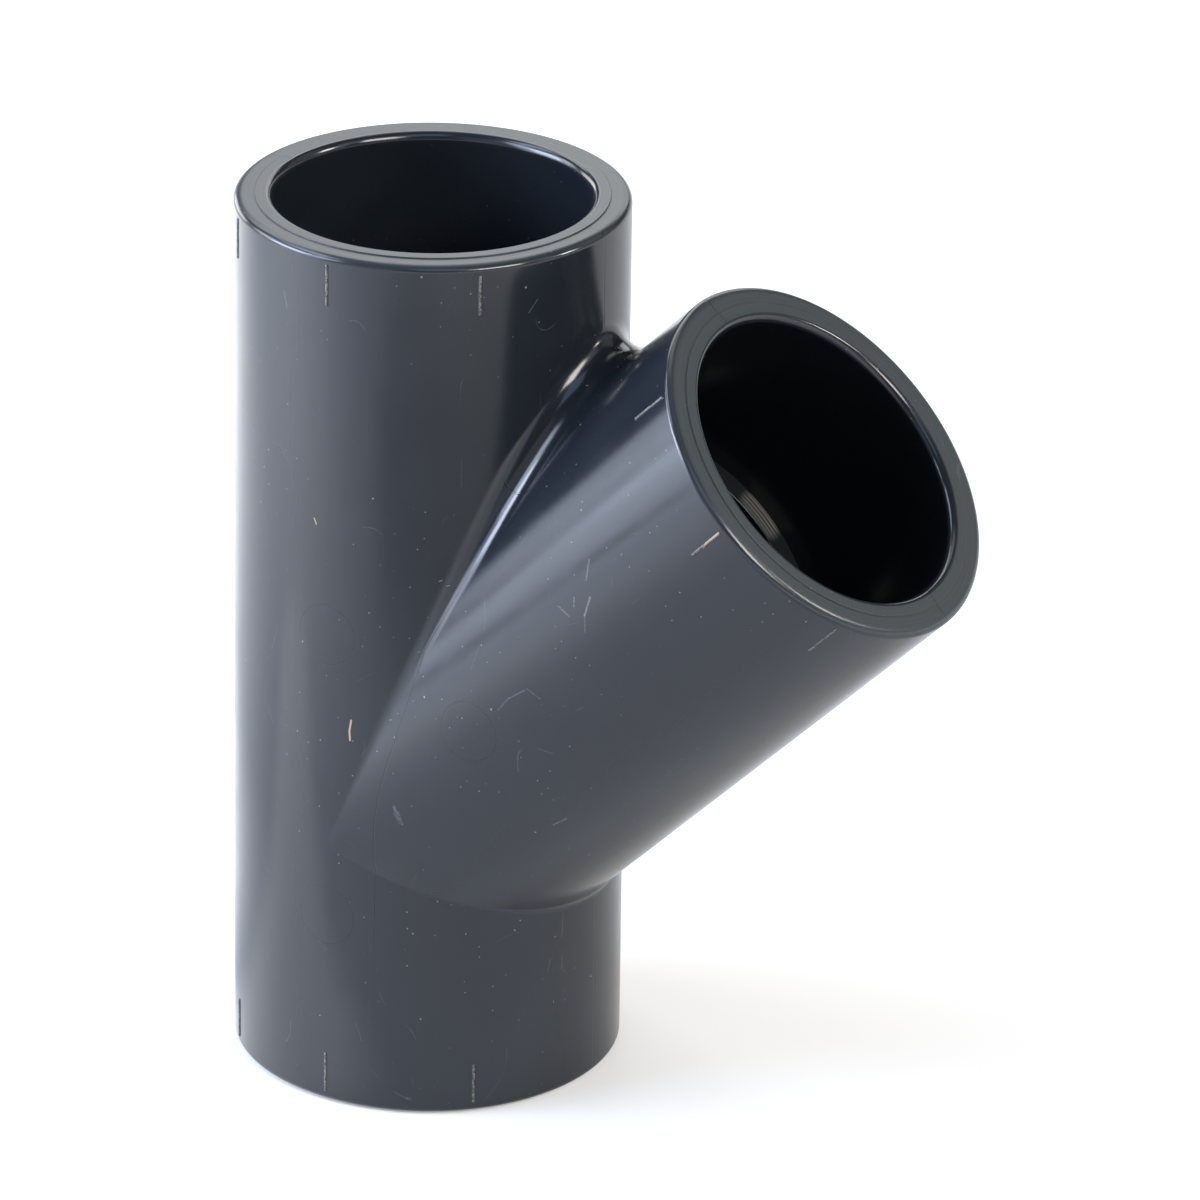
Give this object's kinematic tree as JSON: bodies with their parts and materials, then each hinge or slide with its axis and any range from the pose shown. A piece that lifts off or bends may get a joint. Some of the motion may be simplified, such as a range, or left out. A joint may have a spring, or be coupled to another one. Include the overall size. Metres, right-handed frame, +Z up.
{
  "type": "lateral wye pipe fitting",
  "caption": "Equal 45 degree lateral wye with plain solvent-weld pipe sockets, moulded in one piece of rigid grey plastic.",
  "frame": {"origin": "centre of the lower socket's mouth, in the plane that the fitting stands on", "axes": "+Z up the run's axis to the upper socket, +X to the side that the branch leans to, Y across the plane of the two pipe axes"},
  "size_m": [0.1246, 0.063, 0.1465],
  "materials": {
    "grey_pvc": "glossy as moulded, dark slate grey, with faint swirls, dust and fine scratches"
  },
  "bodies": {
    "root": {"wye_body": "grey_pvc"}
  },
  "joints": []
}
